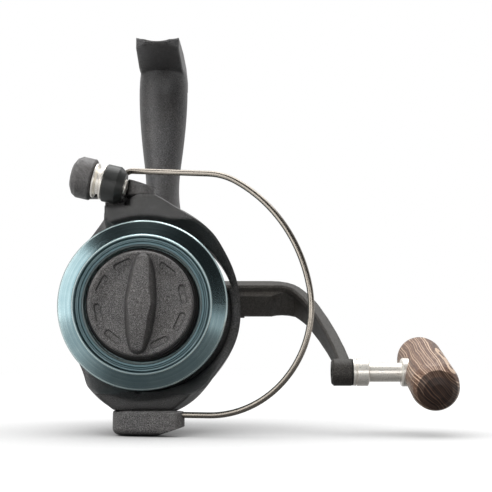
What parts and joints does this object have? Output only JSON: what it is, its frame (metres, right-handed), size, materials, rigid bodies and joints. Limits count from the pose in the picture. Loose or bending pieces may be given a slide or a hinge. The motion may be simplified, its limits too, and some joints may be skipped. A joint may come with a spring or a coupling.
{
  "type": "fishing reel",
  "caption": "Open-faced spinning reel with fixed spool, folding wire bail, front drag knob and side crank with wooden T-bar.",
  "frame": {"origin": "middle of the foot's concave saddle, on its surface, where the rod's reel seat bears", "axes": "+Z out of the saddle towards the rod, +X towards the crank handle, -Y towards the spool's front (the rod tip's side)"},
  "size_m": [0.1213, 0.1156, 0.1325],
  "materials": {
    "black_composite": "fine textured, satin",
    "black_metal": "smooth satin black",
    "bronze": "machined",
    "cast_alloy": "die cast",
    "dark_wood": "oiled, open grain",
    "felt": "oiled felt",
    "polished_steel": "satin polished",
    "rubber": "matt",
    "satin_grey_metal": "satin dark grey coat",
    "steel": "machined",
    "teal_anodised": "turned and anodised",
    "white_plastic": "moulded",
    "wire_steel": "drawn wire"
  },
  "bodies": {
    "body": {"body_housing": "black_composite", "side_cover": "black_composite", "side_cover_screws": "steel", "left_side_cap": "black_composite", "pinion_bearing": "steel", "one_way_clutch": "steel", "clutch_rollers": "steel", "clutch_retainer": "steel", "retainer_screws": "steel", "pinion_rear_bush": "bronze", "left_drive_bearing": "steel", "right_drive_bearing": "steel", "slider_guide_rod": "steel", "gear_post_screw": "steel"},
    "drive": {"drive_gear": "cast_alloy", "step_gear": "steel", "drive_gear_shims": "steel", "drive_shaft_spacer": "steel", "handle_collar": "satin_grey_metal", "handle_arm": "satin_grey_metal", "knob_post": "polished_steel", "knob_post_washer": "rubber", "knob_screw": "polished_steel"},
    "oscillation": {"oscillation_gear": "cast_alloy"},
    "knob": {"t_bar_knob": "dark_wood", "knob_bushes": "white_plastic", "knob_ferrule": "polished_steel"},
    "rotor": {"rotor": "black_composite", "pinion": "bronze", "clutch_sleeve": "steel", "rotor_nut": "steel", "upper_pivot_screw": "black_metal", "lower_pivot_screw": "black_metal"},
    "bail": {"bail_wire": "wire_steel", "roller_lever": "black_composite", "wire_lever": "black_composite", "wire_root": "black_metal", "roller_bush": "white_plastic", "roller_screw": "polished_steel", "bail_spring": "steel"},
    "line_roller": {"line_roller": "polished_steel"},
    "spool_shaft": {"main_shaft": "steel", "slider_block": "cast_alloy", "slider_screw": "steel", "shaft_pin": "steel", "click_gear": "white_plastic", "drag_keyed_washers": "steel"},
    "spool": {"spool": "teal_anodised", "spool_bush": "white_plastic", "click_pawl": "white_plastic", "click_pawl_screw": "steel", "line_clip": "black_metal", "drag_felt_washers": "felt", "drag_eared_washer": "steel", "drag_retaining_ring": "steel"},
    "drag_knob": {"drag_knob": "black_composite", "drag_nut": "bronze", "drag_spring_washer": "steel", "drag_knob_seal": "rubber"}
  },
  "joints": [
    {"name": "handle_spin", "type": "hinge", "parent": "body", "child": "drive", "pos_m": [0, 0.001, -0.085], "axis": [1, 0, 0], "continuous": true},
    {"name": "rotor_spin", "type": "hinge", "parent": "body", "child": "rotor", "pos_m": [0, -0.04, -0.092], "axis": [0, 1, 0], "continuous": true},
    {"name": "oscillation_spin", "type": "hinge", "parent": "body", "child": "oscillation", "pos_m": [-0.006, 0.01551, -0.091], "axis": [1, 0, 0], "continuous": true},
    {"name": "shaft_slide", "type": "slide", "parent": "body", "child": "spool_shaft", "axis": [0, 1, 0], "range_m": [-0.0065, 0.0065]},
    {"name": "spool_spin", "type": "hinge", "parent": "spool_shaft", "child": "spool", "pos_m": [0, -0.055, -0.092], "axis": [0, 1, 0], "continuous": true},
    {"name": "drag_knob_turn", "type": "hinge", "parent": "spool_shaft", "child": "drag_knob", "pos_m": [0, -0.07, -0.092], "axis": [0, 1, 0], "range_deg": [-360, 360]},
    {"name": "bail_swing", "type": "hinge", "parent": "rotor", "child": "bail", "pos_m": [-0.002, -0.057, -0.092], "axis": [0, 0, 1], "range_deg": [-110, 0]},
    {"name": "line_roller_spin", "type": "hinge", "parent": "bail", "child": "line_roller", "pos_m": [-0.0094, -0.062, -0.0554], "axis": [-0.9744, 0, 0.225], "continuous": true},
    {"name": "t_bar_spin", "type": "hinge", "parent": "drive", "child": "knob", "pos_m": [0.0855, -0.05329, -0.1117], "axis": [1, 0, 0], "continuous": true}
  ],
  "couplings": [
    {"joint": "rotor_spin", "follows": "handle_spin", "ratio": 4.6},
    {"joint": "oscillation_spin", "follows": "handle_spin", "ratio": -0.44444}
  ]
}
